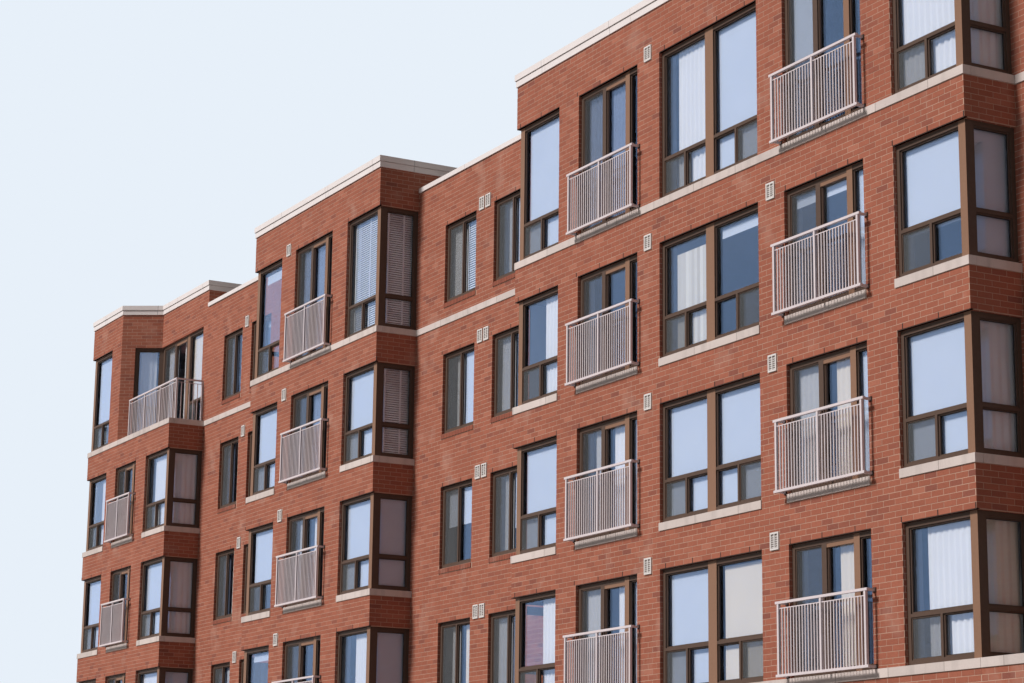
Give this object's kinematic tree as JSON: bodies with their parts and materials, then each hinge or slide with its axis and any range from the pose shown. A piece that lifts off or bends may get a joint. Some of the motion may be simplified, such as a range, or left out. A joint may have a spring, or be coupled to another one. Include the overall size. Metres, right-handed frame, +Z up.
{
  "type": "apartment block",
  "caption": "Five-storey brick apartment block with projecting bays, corner windows, stone sills, guard railings and stepped flat roofs",
  "frame": {"origin": "the ground under the middle of the block's bounding box", "axes": "+X runs along the front to the right as seen from the street, -Y is the street side, +Z is up"},
  "size_m": [39.735, 15.235, 15.636],
  "materials": {
    "brick": "red facing brick with pale mortar",
    "concrete": "cast concrete",
    "stone": "pale sills and bands",
    "coping": "pale folded sheet coping",
    "window_frame": "brown coated aluminium",
    "window_glass": "clear double glazing",
    "railing": "pale grey paint",
    "vent": "off-white louvre"
  },
  "bodies": {
    "root": {"ground_slab": "concrete", "floor_1": "concrete", "floor_2": "concrete", "floor_3": "concrete", "floor_4": "concrete", "left_end_wall": "brick", "left_bay_front_wall": "brick", "left_bay_top_wall": "brick", "terrace_slant_wall": "brick", "terrace_back_wall": "brick", "left_bay_return_wall": "brick", "left_link_wall": "brick", "middle_bay_front_wall": "brick", "middle_bay_return_walls": "brick", "right_link_wall": "brick", "main_bay_front_wall": "brick", "main_bay_return_walls": "brick", "end_link_wall": "brick", "end_link_ground_wall": "brick", "party_wall": "brick", "back_wall": "brick", "raised_bay_walls": "brick", "high_roofs": "concrete", "low_roofs": "concrete", "left_bay_coping": "coping", "middle_bay_coping": "coping", "main_bay_coping": "coping", "link_copings": "coping", "top_band": "stone", "first_floor_band": "stone", "window_sills": "stone", "window_frames_0": "window_frame", "window_glass_0": "window_glass", "window_frames_1": "window_frame", "window_glass_1": "window_glass", "window_frames_2": "window_frame", "window_glass_2": "window_glass", "window_frames_3": "window_frame", "window_glass_3": "window_glass", "window_frames_4": "window_frame", "window_glass_4": "window_glass", "left_bay_railings": "railing", "middle_bay_railings": "railing", "main_bay_railings": "railing", "terrace_railing": "railing", "wall_vents": "vent"}
  },
  "joints": []
}
